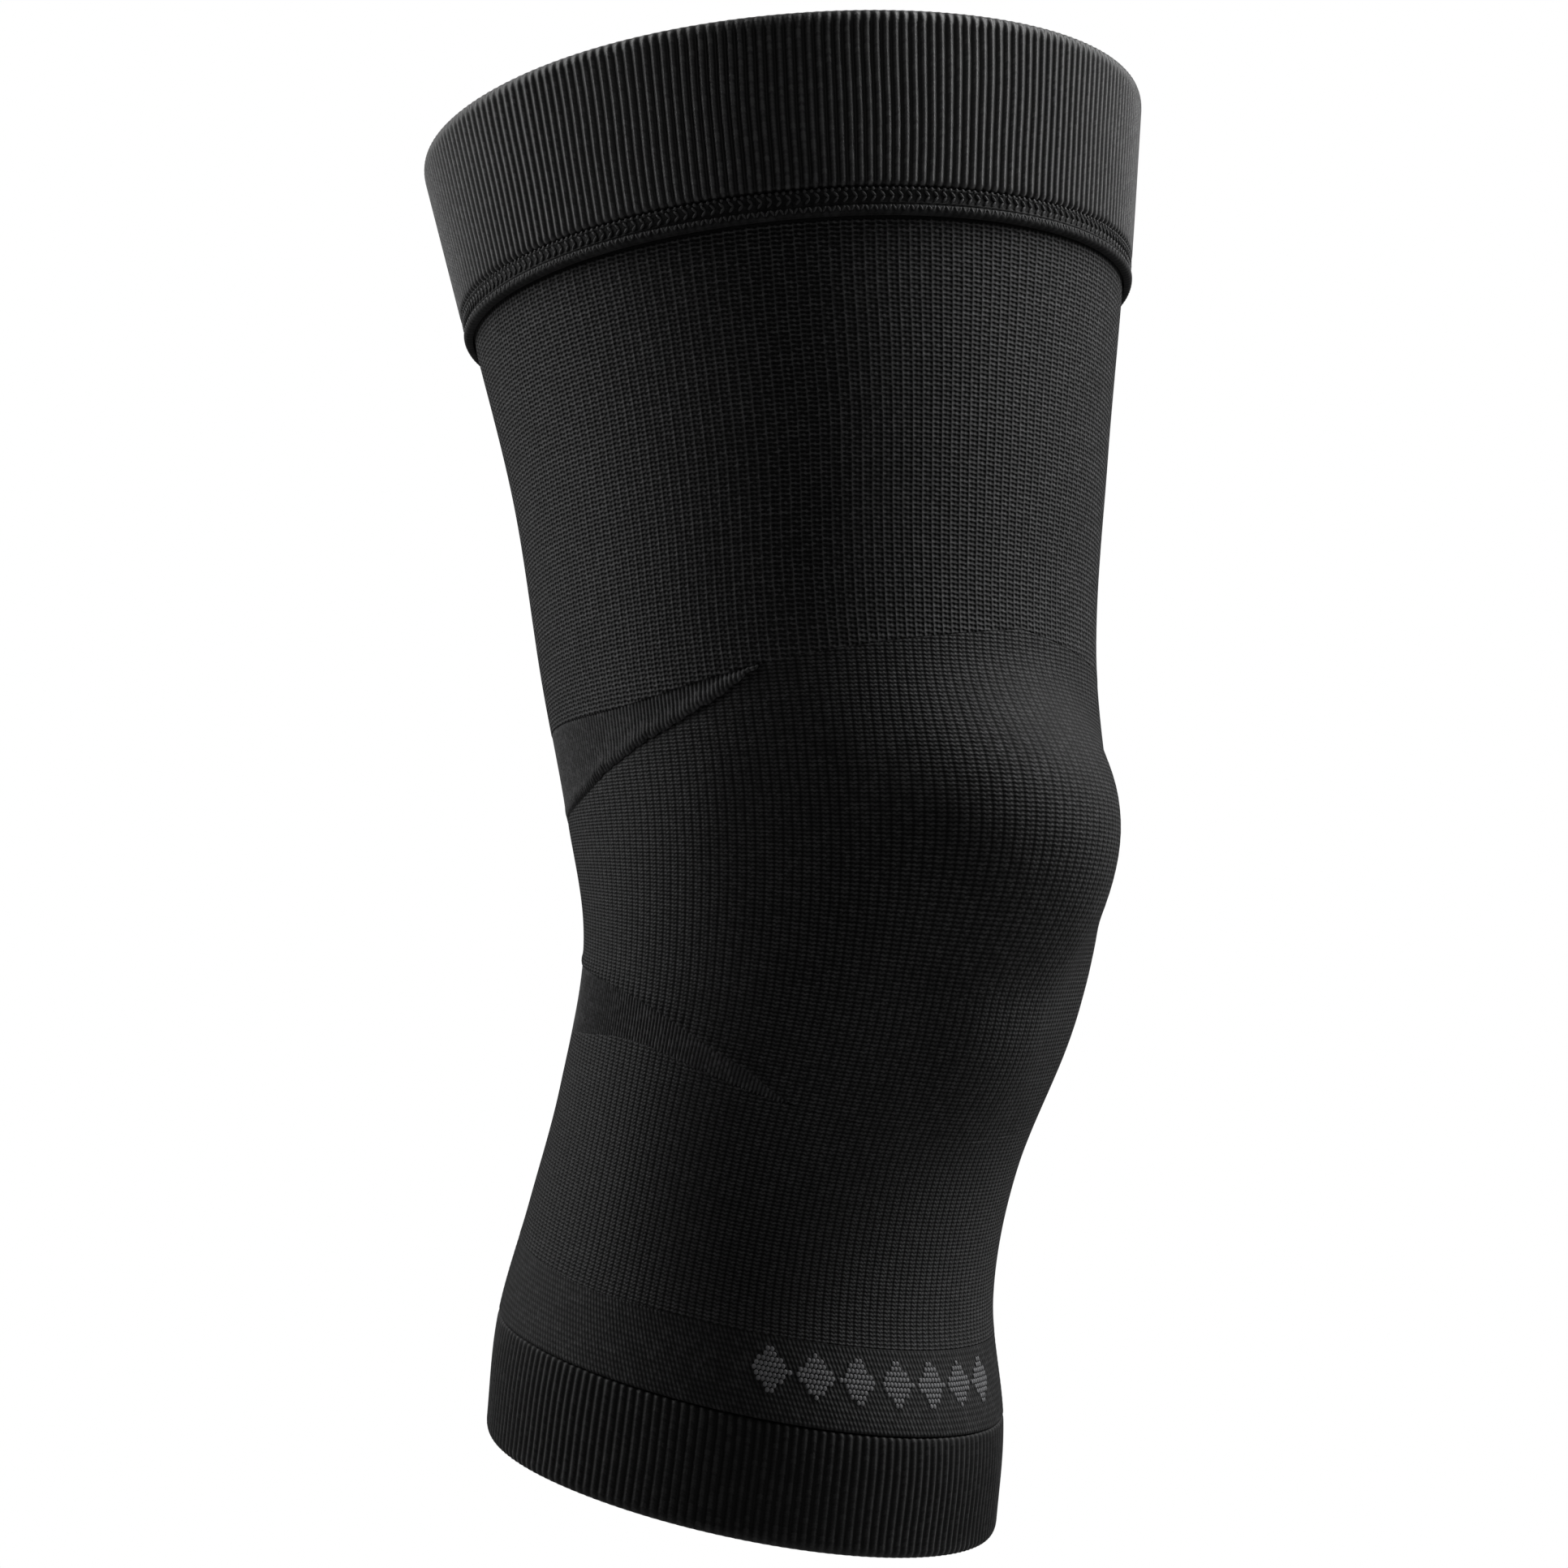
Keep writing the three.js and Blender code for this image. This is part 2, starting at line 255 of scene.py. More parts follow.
def smoothstep(x, low, high):
    t = np.clip((x - low) / (high - low), 0, 1)
    return t * t * (3 - 2 * t)


def line_of(name):
    """A line round the sleeve, as a function of the angle."""
    curve = curve_through(COURSE_ANGLES, [height_of(share) for share in COURSES[name]])
    return lambda angle: curve(angle_apart(angle, 0))


def wedge_share(angle, tip):
    """0 in front of a wedge's tip, 1 where the wedge is open."""
    return smoothstep(angle_apart(angle, 0), tip, tip + WEDGE_OPENS)


stripes_top = line_of("stripes_top")
calf_top = line_of("calf_panel_top")
thigh_low = line_of("thigh_panel_low")
open_knee_low = line_of("knee_panel_low")
open_knee_top = line_of("knee_panel_top")


def knee_top(angle):
    """The knee panel meets the thigh panel in front and leaves room for the wedge behind."""
    return thigh_low(angle) + (open_knee_top(angle) - thigh_low(angle)) * wedge_share(angle, UPPER_TIP)


def knee_low(angle):
    return calf_top(angle) + (open_knee_low(angle) - calf_top(angle)) * wedge_share(angle, LOWER_TIP)


wedge_height = float(thigh_low(90) - knee_top(90))
print("upper wedge at the side:", round(wedge_height / MM, 1), "mm tall")

# %% [markdown]
# ## Lofting knitted tubes
# Every piece of cloth here is a closed shell that goes round the leg. Its rows of points run up the outer
# face, over the edge and down the inner face. Each rib has the same few points across it, so ribs are real
# relief. A UV map counts ribs across and millimetres up, and the finishes use it to draw single stitches
# that follow the cloth wherever it stretches. Numpy fills a mesh at once, which is far quicker than adding
# a hundred thousand vertices one by one.


# %% A mesh from arrays
def plain_mesh(name, points, loops, sizes):
    """A smooth mesh from flat arrays: coordinates, the faces' corners and the corners in each face."""
    mesh = bpy.data.meshes.new(name)
    mesh.vertices.add(len(points) // 3)
    mesh.vertices.foreach_set("co", points.astype(np.float32))
    mesh.loops.add(len(loops))
    mesh.loops.foreach_set("vertex_index", loops.astype(np.int32))
    mesh.polygons.add(len(sizes))
    mesh.polygons.foreach_set("loop_start", (np.cumsum(sizes) - sizes).astype(np.int32))
    mesh.polygons.foreach_set("use_smooth", np.ones(len(sizes), dtype=bool))
    mesh.update(calc_edges=True)
    made = bpy.data.objects.new(name, mesh)
    scene.collection.objects.link(made)
    print(name, int(sizes.sum() - 2 * len(sizes)), "triangles")
    return made


print("mesh helper ready")

# %% [markdown]
# ## Uneven ribs
# Real cloth is never pulled quite evenly. Three slow waves let the ribs wander by a fraction of a degree,
# and the same waves move the stitches that lie on them. Two small curves go with them: one rounds a rib
# like a cord, the other fades a form out on both sides.

# %% Sway, crest and nearness
# Radians for each metre of height, radians for each radian round the leg, and degrees of sway
SWAYS = [(61, 2, 0.22), (147, -5, 0.10), (310, 11, 0.03)]


def sway(height, angle):
    """Degrees by which the ribs wander at a place."""
    turn = np.radians(angle)
    return sum(size * np.sin(height * upwards + around * turn) for upwards, around, size in SWAYS)


def crest(rib):
    """1 on whole numbers, 0 halfway between them, rounded like a cord."""
    return (0.5 + 0.5 * np.cos(2 * np.pi * rib)) ** 0.8


def near(distance, width):
    """1 at no distance, fading to 0 on both sides."""
    return np.exp(-(distance / width) ** 2)


print("the ribs sway by up to", round(sum(size for _, _, size in SWAYS), 2), "degrees")

# %% [markdown]
# ## A band of cloth
# The class below collects rows and turns them into one closed mesh. A band may go all the way round, or
# only part of the way, and then its two ends are closed by flat faces inside the neighbouring walls.


# %% Cloth
class Cloth:
    """A closed band round the leg, made row by row."""

    def __init__(self, name, ribs, per_rib, start=0, sweep=360):
        self.name = name
        self.per_rib = per_rib
        self.whole = sweep == 360
        columns = round(ribs * sweep / 360) * per_rib
        steps = np.arange(columns if self.whole else columns + 1)
        self.angle = start + steps * sweep / columns
        self.rib = start * ribs / 360 + steps / per_rib
        self.heights = []
        self.outs = []

    def row(self, height, out):
        """Adds a row. Both may be one number or one for each column."""
        self.heights.append(np.broadcast_to(height, self.angle.shape))
        self.outs.append(np.broadcast_to(out, self.angle.shape))

    def piece(self):
        """The closed mesh, with ribs across and millimetres up in its UV map."""
        heights, outs = np.array(self.heights), np.array(self.outs)
        rows, columns = heights.shape
        points = on_sleeve(heights, self.angle + sway(heights, self.angle), outs)
        spans = columns if self.whole else columns - 1
        row, column = np.meshgrid(np.arange(rows), np.arange(spans), indexing="ij")
        here, above = row * columns, (row + 1) % rows * columns
        beside = (column + 1) % columns
        quads = np.stack([here + column, here + beside, above + beside, above + column], axis=-1)
        rib, rib_after = self.rib[column], self.rib[column] + 1 / self.per_rib
        across = np.stack([rib, rib_after, rib_after, rib], axis=-1)
        first = np.arange(rows) * columns
        ends = [] if self.whole else [first, (first + columns - 1)[::-1]]
        loops = np.concatenate([quads.reshape(-1), *ends])
        sizes = np.array([4] * (rows * spans) + [rows] * len(ends))
        made = plain_mesh(self.name, points.reshape(-1), loops, sizes)
        u = np.concatenate([across.reshape(-1), *(self.rib[end % columns] for end in ends)])
        v = heights.reshape(-1)[loops] / MM
        uv = np.stack([u, v], axis=-1).reshape(-1).astype(np.float32)
        made.data.uv_layers.new(name="Knit").data.foreach_set("uv", uv)
        return made


print("cloth class ready")

# %% [markdown]
# ## Folds
# Both cuffs are knitted double, with a fold along the sleeve's end. The fold is half an ellipse, a little
# taller than it is thick. The grooves between the ribs grow shallow there, because the cloth is stretched
# over its own edge.

# %% Rows over a fold
FOLD_FULLNESS = 1.8  # height of a fold, as a share of half its thickness
FOLD_TURNS = np.radians(np.arange(18, 181, 18))  # from just past the outer face to the inner one


def fold_rows(cloth, turns, start, height, middle, half, groove, left):
    """Rows over a fold. left: the share of the grooves' depth that is left where the cloth turns over."""
    for turn in turns:
        depth = groove * (left + (1 - left) * max(0, math.cos(turn)))
        rise = (height - depth * 0.5) * math.sin(turn)
        cloth.row(start + rise, middle + (half - depth * 0.7) * math.cos(turn))


print("a fold has", len(FOLD_TURNS), "rows")

# %% [markdown]
# ## Thigh cuff
# The cuff is a broad rib knitted double: one layer outside, a fold along the top edge and one layer inside.
# Its 240 ribs are round cords with grooves between them, dark from their own shade and from painted shade
# in the knit. Their lower ends are rounded at the seam strip. They run up and carry on over the fold, and
# the inner layer laps the top of the tube.

# %% Thigh cuff
CUFF_RIBS = 240
CUFF_RIB_POINTS = 8
CUFF_RIB_DEPTH = 0.45 * MM
CUFF_HEM = [(0, 0.8), (0.15, 0.4), (0.45, 0.12), (0.9, 0)]  # mm above the ribs' ends and mm sunk there
CUFF_FACE_START = 1.6 * MM
CUFF_ROWS = 20
INNER_ROWS = 4
INNER_GROOVE = 0.24  # the inner layer's grooves, as a share of the outer ones

cuff = Cloth("thigh_cuff_ribs", CUFF_RIBS, CUFF_RIB_POINTS)
cuff_groove = CUFF_RIB_DEPTH * (1 - crest(cuff.rib))
cuff_low = RIB_ENDS + GAP
cuff_half = (CUFF_STAND + WALL) / 2
fold_height = FOLD_FULLNESS * cuff_half
fold_start = LENGTH_ABOVE - fold_height
for rise, sink in CUFF_HEM:
    cuff.row(cuff_low + rise * MM, CUFF_STAND - cuff_groove - sink * MM)
for height in np.linspace(cuff_low + CUFF_FACE_START, fold_start, CUFF_ROWS):
    cuff.row(height, CUFF_STAND - cuff_groove)
cuff_middle = CUFF_STAND - cuff_half
fold_rows(cuff, FOLD_TURNS, fold_start, fold_height, cuff_middle, cuff_half, cuff_groove, left=0.16)
for height in np.linspace(fold_start - 3 * MM, BODY_TOP + GAP, INNER_ROWS):
    cuff.row(height, -WALL + cuff_groove * INNER_GROOVE)
cuff.row(BODY_TOP + GAP, GAP)
cuff.row(cuff_low, GAP)
thigh_cuff = cuff.piece()

# %% [markdown]
# ## Calf cuff
# The lower cuff is turned the same way, but its ribs are flatter, and it lies flush with the tube. Its
# inner layer laps up behind the tube.

# %% Calf cuff
CALF_RIBS = 176
CALF_RIB_POINTS = 6
CALF_RIB_DEPTH = 0.42 * MM
CALF_FACE_END = 1.2 * MM
CALF_ROWS = 16
CALF_HEM = [(0.5, 0.03), (0.25, 0.08), (0.08, 0.2), (0, 0.32)]  # mm below the cuff's top and mm sunk there

calf = Cloth("calf_cuff_ribs", CALF_RIBS, CALF_RIB_POINTS)
calf_groove = CALF_RIB_DEPTH * (1 - crest(calf.rib))
calf_cuff_top = BODY_LOW - GAP
calf_half = CALF_CUFF_WALL / 2
turn_height = FOLD_FULLNESS * calf_half
turn_start = turn_height - LENGTH_BELOW
for height in np.linspace(turn_start, calf_cuff_top - CALF_FACE_END, CALF_ROWS):
    calf.row(height, -calf_groove)
for drop, sink in CALF_HEM:
    calf.row(calf_cuff_top - drop * MM, -calf_groove - sink * MM)
calf.row(calf_cuff_top, -WALL - GAP)
calf.row(BODY_LOW + CALF_LAP, -WALL - GAP)
calf.row(BODY_LOW + CALF_LAP, -WALL - GAP - CALF_LAP_WALL)
for height in np.linspace(calf_cuff_top, turn_start, INNER_ROWS):
    calf.row(height, -CALF_CUFF_WALL)
turns_back = -FOLD_TURNS[:-1][::-1]  # downwards, from the inner face to the outer one
fold_rows(calf, turns_back, turn_start, turn_height, -calf_half, calf_half, calf_groove, left=0.2)
calf_cuff = calf.piece()

# %% [markdown]
# ## Panels of the tube
# The thigh panel, the knee panel and the calf panel share the same 180 columns of stitches, which run down
# the whole tube. Each panel has its own relief: thin raised wales on the thigh, fuller columns on the knee,
# finer ones on the calf. Where two panels meet in front of the wedges, one relief fades into the other.

# %% Relief of the panels
WALES = 180
WALE_POINTS = 6
STRIPE = 1.05 * MM  # height of one cross stripe above the calf cuff
FADE = 0.8 * MM  # half the height over which one relief fades into the next


def thigh_relief(rib):
    return 0.07 * MM * near(np.abs(rib - np.round(rib)), 0.15)


def knee_relief(rib):
    return 0.05 * MM * (crest(rib) ** 0.6 - 0.4)


def calf_relief(rib):
    return 0.04 * MM * (crest(rib) ** 0.6 - 0.4)


def stripe_relief(height):
    return 0.03 * MM * (crest(height / STRIPE) - 0.4)


def tube_relief(rib, height, angle):
    """The panels' reliefs from the bottom to the top, each fading into the next at its line."""
    relief = stripe_relief(height)
    lines = [
        (stripes_top(angle), calf_relief(rib)),
        ((knee_low(angle) + calf_top(angle)) / 2, knee_relief(rib)),
        ((knee_top(angle) + thigh_low(angle)) / 2, thigh_relief(rib)),
    ]
    for line, above in lines:
        share = smoothstep(height, line - FADE, line + FADE)
        relief = relief * (1 - share) + above * share
    return relief


stitch_width = 2 * math.pi * KNEE_HALF_WIDTH / WALES
print("one stitch column is", round(stitch_width / MM, 2), "mm wide at the knee")

# %% [markdown]
# ## The panels' edges
# Where a wedge is open, its edge is a soft lip that bulges over the knee panel, and the knee panel's own
# edge lies a little deeper. That draws the dark line beside the kneecap. The knee panel's lower edge is
# puckered by the stitches that close it. Over the kneecap the cloth spans a small hollow and turns outwards
# below it, which gives the light patch there.

# %% Edges of the panels
PUCKER = 0.24 * MM
TUCK = 0.34 * MM  # how deep the knee panel's upper edge lies at the sides
TUCK_BEHIND = 0.14 * MM
# Rise in mm, mm above the knee and half height in mm
OVER_KNEECAP = [(0.35, 10, 6), (-0.8, 21, 6.5)]
HOLLOW_MIDDLE, HOLLOW_REACH = 4, 26  # degrees


def behind_knee(angle):
    """0 at the sides of the knee and 1 at its back."""
    return smoothstep(angle_apart(angle, 0), 95, 130)


def over_kneecap(height, angle):
    """The hollow over the kneecap and the small rise below it."""
    rises = sum(rise * near(height - place * MM, tall * MM) for rise, place, tall in OVER_KNEECAP)
    return near(angle_apart(angle, HOLLOW_MIDDLE), HOLLOW_REACH) * rises * MM


def knee_edges(height, angle):
    tuck = TUCK + (TUCK_BEHIND - TUCK) * behind_knee(angle)
    sunk = tuck * near(height - knee_top(angle), 1.3 * MM)
    waves = 0.7 + 0.3 * np.cos(np.radians(angle) * WALES)
    puckered = PUCKER * waves * near(height - knee_low(angle) - 0.9 * MM, 1.0 * MM)
    edges = puckered * wedge_share(angle, LOWER_TIP) - sunk * wedge_share(angle, UPPER_TIP)
    return edges + over_kneecap(height, angle)


def thigh_edges(height, angle):
    """The thigh panel dips where the strip's lower edge presses on it and stays low under the cuff."""
    seam_dip = 0.12 * MM * near(height - SEAM_LOW, 1.6 * MM)
    under_cuff = 0.15 * MM * smoothstep(height, SEAM_LOW, SEAM_LOW + 2 * MM)
    return -seam_dip - under_cuff


def calf_edges(height, angle):
    return 0.03 * MM * near(height - stripes_top(angle), 0.8 * MM)


print("the knee panel is tucked in by", TUCK / MM, "mm under the wedge's lip")

# %% [markdown]
# ## The panels and the striped zone
# A panel is lofted between two lines. Its rows lie closer at the edges, where the relief changes fast. The
# inner face has few rows. Over the kneecap it still needs a dozen, or it would cut the corner of the hollow
# and show through. The striped zone has a row for each few tenths of a millimetre, for its cross ridges.

# %% The three panels and the striped zone
EDGE_STEPS = np.array([0, 0.3, 0.7, 1.3, 2.1]) * MM
EDGE = 3 * MM
ZONE_ROWS = 58


def panel(name, low, high, edge, rows, inner):
    """A closed panel between two lines. edge(height, angle) adds the shape of its edges."""
    cloth = Cloth(name, WALES, WALE_POINTS)
    bottom, top = low(cloth.angle), high(cloth.angle)
    heights = [bottom + step for step in EDGE_STEPS]
    heights += [bottom + EDGE + (top - bottom - 2 * EDGE) * share for share in np.linspace(0, 1, rows)]
    heights += [top - step for step in EDGE_STEPS[::-1]]
    for height in heights:
        cloth.row(height, tube_relief(cloth.rib, height, cloth.angle) + edge(height, cloth.angle))
    for share in np.linspace(1, 0, inner):
        cloth.row(bottom + (top - bottom) * share, -WALL)
    return cloth.piece()


def body_top(angle):
    return np.full(angle.shape, BODY_TOP)


thigh_panel = panel("thigh_panel", thigh_low, body_top, thigh_edges, rows=36, inner=7)
knee_panel = panel("knee_panel", knee_low, knee_top, knee_edges, rows=40, inner=12)
calf_panel = panel("calf_panel", stripes_top, calf_top, calf_edges, rows=26, inner=7)

stripes = Cloth("striped_zone", WALES, WALE_POINTS)
zone_height = stripes_top(stripes.angle) - BODY_LOW
for share in np.linspace(0, 1, ZONE_ROWS):
    height = BODY_LOW + zone_height * share
    rounded = 0.2 * MM * near(height - BODY_LOW, 0.25 * MM)
    stripes.row(height, tube_relief(stripes.rib, height, stripes.angle) - rounded)
for share in (1, 0.5, 0):
    stripes.row(BODY_LOW + zone_height * share, -WALL)
striped_zone = stripes.piece()

# %% [markdown]
# ## Wedges
# The wedges are plain fine rib, two ribs for each column of the panels. Only the part behind the tips
# exists. Its edges run on inside the walls of the panels above and below, as the real layers are linked
# there. The lip along a wedge's lower edge is a little crumpled, because the cloth is gathered where the
# knee bends.

# %% Wedges
WEDGE_RIBS = 2 * WALES
WEDGE_RIB_POINTS = 4
WEDGE_RIB_DEPTH = 0.24 * MM
LIP = 0.52 * MM
LIP_TOP = 2.2  # mm above the lower edge
# mm above the lower edge and the share of the lip's bulge there
LIP_SHAPE = [(-0.25, 0.1), (0, 0.65), (0.35, 0.95), (0.8, 1.0), (1.4, 0.8), (LIP_TOP, 0.45)]
LINK_BELOW = 0.9 * MM  # how far a wedge runs on inside the panel below
LINK_ABOVE = 1.0 * MM
TIP_DEPTH = 0.8 * MM  # how deep the tip lies between the panels
TIP_RISES = 5  # degrees over which the wedge comes up from that depth
INNER_LINK = 0.15 * MM - WALL


def wedge(name, tip, low, high, lip, sunk, rows):
    """A wedge between two lines. lip: how far its lower edge bulges. sunk: how deep its upper edge lies."""
    cloth = Cloth(name, WEDGE_RIBS, WEDGE_RIB_POINTS, tip, 360 - 2 * tip)
    bottom, top = low(cloth.angle), high(cloth.angle)
    turn = np.radians(cloth.angle)
    crumple = np.sin(turn * 61) * np.sin(turn * 37 + 1)
    lip = lip * (1 - 0.7 * behind_knee(cloth.angle)) * (1 + 0.3 * crumple)
    bottom = bottom + lip * 0.6 * crumple
    opened = smoothstep(angle_apart(cloth.angle, 0), tip, tip + TIP_RISES)
    ribs = WEDGE_RIB_DEPTH * (crest(cloth.rib) - 0.9)

    def add(height, out):
        cloth.row(height, -TIP_DEPTH + (out + TIP_DEPTH) * opened + ribs)

    add(bottom - LINK_BELOW, -0.7 * MM)
    add(bottom - 0.35 * MM, -0.45 * MM)
    for rise, bulge in LIP_SHAPE:
        add(bottom + np.minimum(rise * MM, (top - bottom) * rise / 3), lip * bulge)
    start = bottom + np.minimum(LIP_TOP * MM, (top - bottom) * 0.73)
    for share in np.linspace(0.12, 1, rows):
        add(start + (top - start) * share, lip * 0.3 * (1 - share) ** 2 - sunk * share)
    add(top + LINK_ABOVE / 2, -0.5 * MM)
    add(top + LINK_ABOVE, -0.75 * MM)
    cloth.row(top + LINK_ABOVE, INNER_LINK)
    cloth.row((top + bottom) / 2, -WALL)
    cloth.row(bottom - LINK_BELOW, INNER_LINK)
    return cloth.piece()


upper_wedge = wedge("upper_wedge", UPPER_TIP, knee_top, thigh_low, lip=LIP, sunk=0.06 * MM, rows=12)
lower_wedge = wedge("lower_wedge", LOWER_TIP, calf_top, knee_low, lip=0.04 * MM, sunk=0.05 * MM, rows=10)

# %% [markdown]
# ## Seam strip
# A narrow strip closes the cuff's lower edge. It has a rolled lower edge that casts a shadow on the thigh
# panel, a flat face with two fine ridges, and rows of stitches. Under it the thigh panel's knit also has a
# painted shadow. The strip itself is lofted like the rest.

# %% Seam strip
STRIP_RIB_POINTS = 4
STRIP_FACE = CUFF_STAND - 0.225 * MM
ROLL_HEIGHT = 1.6 * MM
ROLL_STAND = 0.45 * MM
ROLL_WAVE = 0.06 * MM
# Shares of the roll's height and of how far it stands out
ROLL_SHAPE = [(0, -0.9), (0.06, 0.1), (0.15, 0.6), (0.3, 0.92), (0.5, 1), (0.68, 0.85), (0.85, 0.45), (1, 0)]
FACE_ROWS = [1.8, 1.92, 2.05, 2.2, 2.4, 2.8, 3.25, 3.7, 4.1, 4.3, 4.45, 4.6]  # mm over the lower edge
FINE_RIDGES = [2.05, 4.45]
RIDGE = 0.16  # mm, both the height and half the width of a ridge

strip = Cloth("seam_band", CUFF_RIBS, STRIP_RIB_POINTS)
roll_wave = ROLL_WAVE * np.cos(2 * np.pi * strip.rib)
for rise, stand in ROLL_SHAPE:
    strip.row(SEAM_LOW + rise * ROLL_HEIGHT, STRIP_FACE + stand * ROLL_STAND + roll_wave)
for rise in FACE_ROWS:
    ridge = sum(near(rise - place, RIDGE) for place in FINE_RIDGES)
    strip.row(SEAM_LOW + rise * MM, STRIP_FACE + (RIDGE * ridge - 0.12) * MM)
strip.row(RIB_ENDS - 0.15 * MM, STRIP_FACE - 0.3 * MM)
strip.row(RIB_ENDS, STRIP_FACE - 0.7 * MM)
strip.row(RIB_ENDS, GAP)
strip.row(SEAM_LOW, GAP)
seam_band = strip.piece()

# %% [markdown]
# ## A small language for node trees
# Materials and Geometry Nodes are both trees of nodes, and both read best as ordinary arithmetic. The class
# Value wraps a socket, and adding or multiplying two values puts the matching Math node into the tree. Any
# other node comes from one method that takes its kind, its settings and what goes into its sockets.


# %% Values and trees
class Value:
    """A socket of a tree, with Python's operators as Math nodes."""

    def __init__(self, tree, socket):
        self.tree = tree
        self.socket = socket

    def math(self, operation, *others):
        inputs = dict(enumerate((self, *others)))
        return self.tree.node("ShaderNodeMath", {"operation": operation}, inputs)

    def other_output(self, output):
        """Another output of the same node."""
        return Value(self.tree, self.socket.node.outputs[output])

    def __add__(self, other):
        return self.math("ADD", other)

    def __sub__(self, other):
        return self.math("SUBTRACT", other)

    def __rsub__(self, other):
        return self.tree.node("ShaderNodeMath", {"operation": "SUBTRACT"}, {0: other, 1: self})

    def __mul__(self, other):
        return self.math("MULTIPLY", other)

    def __truediv__(self, other):
        return self.math("DIVIDE", other)

    def __pow__(self, other):
        return self.math("POWER", other)

    def __abs__(self):
        return self.math("ABSOLUTE")

    __radd__ = __add__
    __rmul__ = __mul__

    def fraction(self):
        return self.math("FRACT")

    def whole(self):
        return self.math("FLOOR")

    def wave(self):
        """1 on whole numbers and 0 halfway between them."""
        return (self * (2 * math.pi)).math("COSINE") * 0.5 + 0.5

    def step(self, low, high):
        """0 below low, 1 above high and smooth between them."""
        settings = {"interpolation_type": "SMOOTHSTEP"}
        return self.tree.node("ShaderNodeMapRange", settings, {0: self, 1: low, 2: high})


class Tree:
    """A node tree under construction."""

    def __init__(self, nodes):
        self.nodes = nodes
        self.nodes.nodes.clear()

    def node(self, kind, settings=None, inputs=None, output=0):
        """Adds a node with its settings, then its inputs, and gives one of its outputs."""
        made = self.nodes.nodes.new(kind)
        for key, setting in (settings or {}).items():
            setattr(made, key, setting)
        for key, given in (inputs or {}).items():
            if isinstance(given, Value):
                self.nodes.links.new(given.socket, made.inputs[key])
            else:
                made.inputs[key].default_value = given
        return Value(self, made.outputs[output]) if len(made.outputs) else None

    def mix(self, share, dark, light):
        """A colour between two others."""
        inputs = {0: share, 6: dark, 7: light}
        return self.node("ShaderNodeMix", {"data_type": "RGBA"}, inputs, output=2)


print("node helpers ready")

# %% [markdown]
# ## Stitches that follow a line
# The strip's stitches, and the motif's, are the same small loop of yarn laid down hundreds of times.
# Geometry Nodes put one rounded loop on every point of a guide mesh. Each point carries the direction it
# lies along and the direction that faces out of the cloth.


# %% The stitch tree
def stitch_tree():
    group = bpy.data.node_groups.new("Stitches along a line", "GeometryNodeTree")
    face = group.interface
    face.new_socket("Geometry", in_out="INPUT", socket_type="NodeSocketGeometry")
    for name, size in (("Width", 0.5 * MM), ("Length", 1 * MM), ("Thickness", 0.4 * MM)):
        face.new_socket(name, in_out="INPUT", socket_type="NodeSocketFloat").default_value = size
    face.new_socket("Yarn", in_out="INPUT", socket_type="NodeSocketMaterial")
    face.new_socket("Geometry", in_out="OUTPUT", socket_type="NodeSocketGeometry")
    tree = Tree(group)
    given = group.nodes.new("NodeGroupInput")
    value = {socket.name: Value(tree, socket) for socket in given.outputs if socket.name}
    ball = tree.node("GeometryNodeMeshUVSphere", {}, {"Segments": 8, "Rings": 6, "Radius": 0.5})
    size = {"X": value["Width"], "Y": value["Length"], "Z": value["Thickness"]}
    scale = tree.node("ShaderNodeCombineXYZ", {}, size)
    loop = tree.node("GeometryNodeTransform", {}, {"Geometry": ball, "Scale": scale})
    smooth = tree.node("GeometryNodeSetShadeSmooth", {}, {"Geometry": loop})
    vector = {"data_type": "FLOAT_VECTOR"}
    outward = tree.node("GeometryNodeInputNamedAttribute", vector, {"Name": "outward"})
    along = tree.node("GeometryNodeInputNamedAttribute", vector, {"Name": "along"})
    facing = tree.node("FunctionNodeAlignRotationToVector", {"axis": "Z"}, {"Vector": outward})
    turned = tree.node("FunctionNodeAlignRotationToVector", {"axis": "Y", "pivot_axis": "Z"},
                       {"Rotation": facing, "Vector": along})
    copies = tree.node("GeometryNodeInstanceOnPoints", {},
                       {"Points": value["Geometry"], "Instance": smooth, "Rotation": turned})
    real = tree.node("GeometryNodeRealizeInstances", {}, {"Geometry": copies})
    dyed = tree.node("GeometryNodeSetMaterial", {}, {"Geometry": real, "Material": value["Yarn"]})
    tree.node("NodeGroupOutput", {}, {"Geometry": dyed})
    return group


stitches_along = stitch_tree()
print("stitch tree has", len(stitches_along.nodes), "nodes")

# %% [markdown]
# ## Guides and their stitches
# A guide is a mesh of loose points that lie on the cloth and sway with the ribs. The modifier's inputs are
# set by their identifiers before anything is evaluated. The result is read back, several guides are joined
# into one plain mesh, and the guides are removed.

# %% Guides and stitches
PROBE_UP = 0.2 * MM  # small steps that find the directions on the cloth
PROBE_ROUND = 0.1  # degrees
STITCH_SOCKETS = {
    item.name: item.identifier for item in stitches_along.interface.items_tree if item.in_out == "INPUT"
}


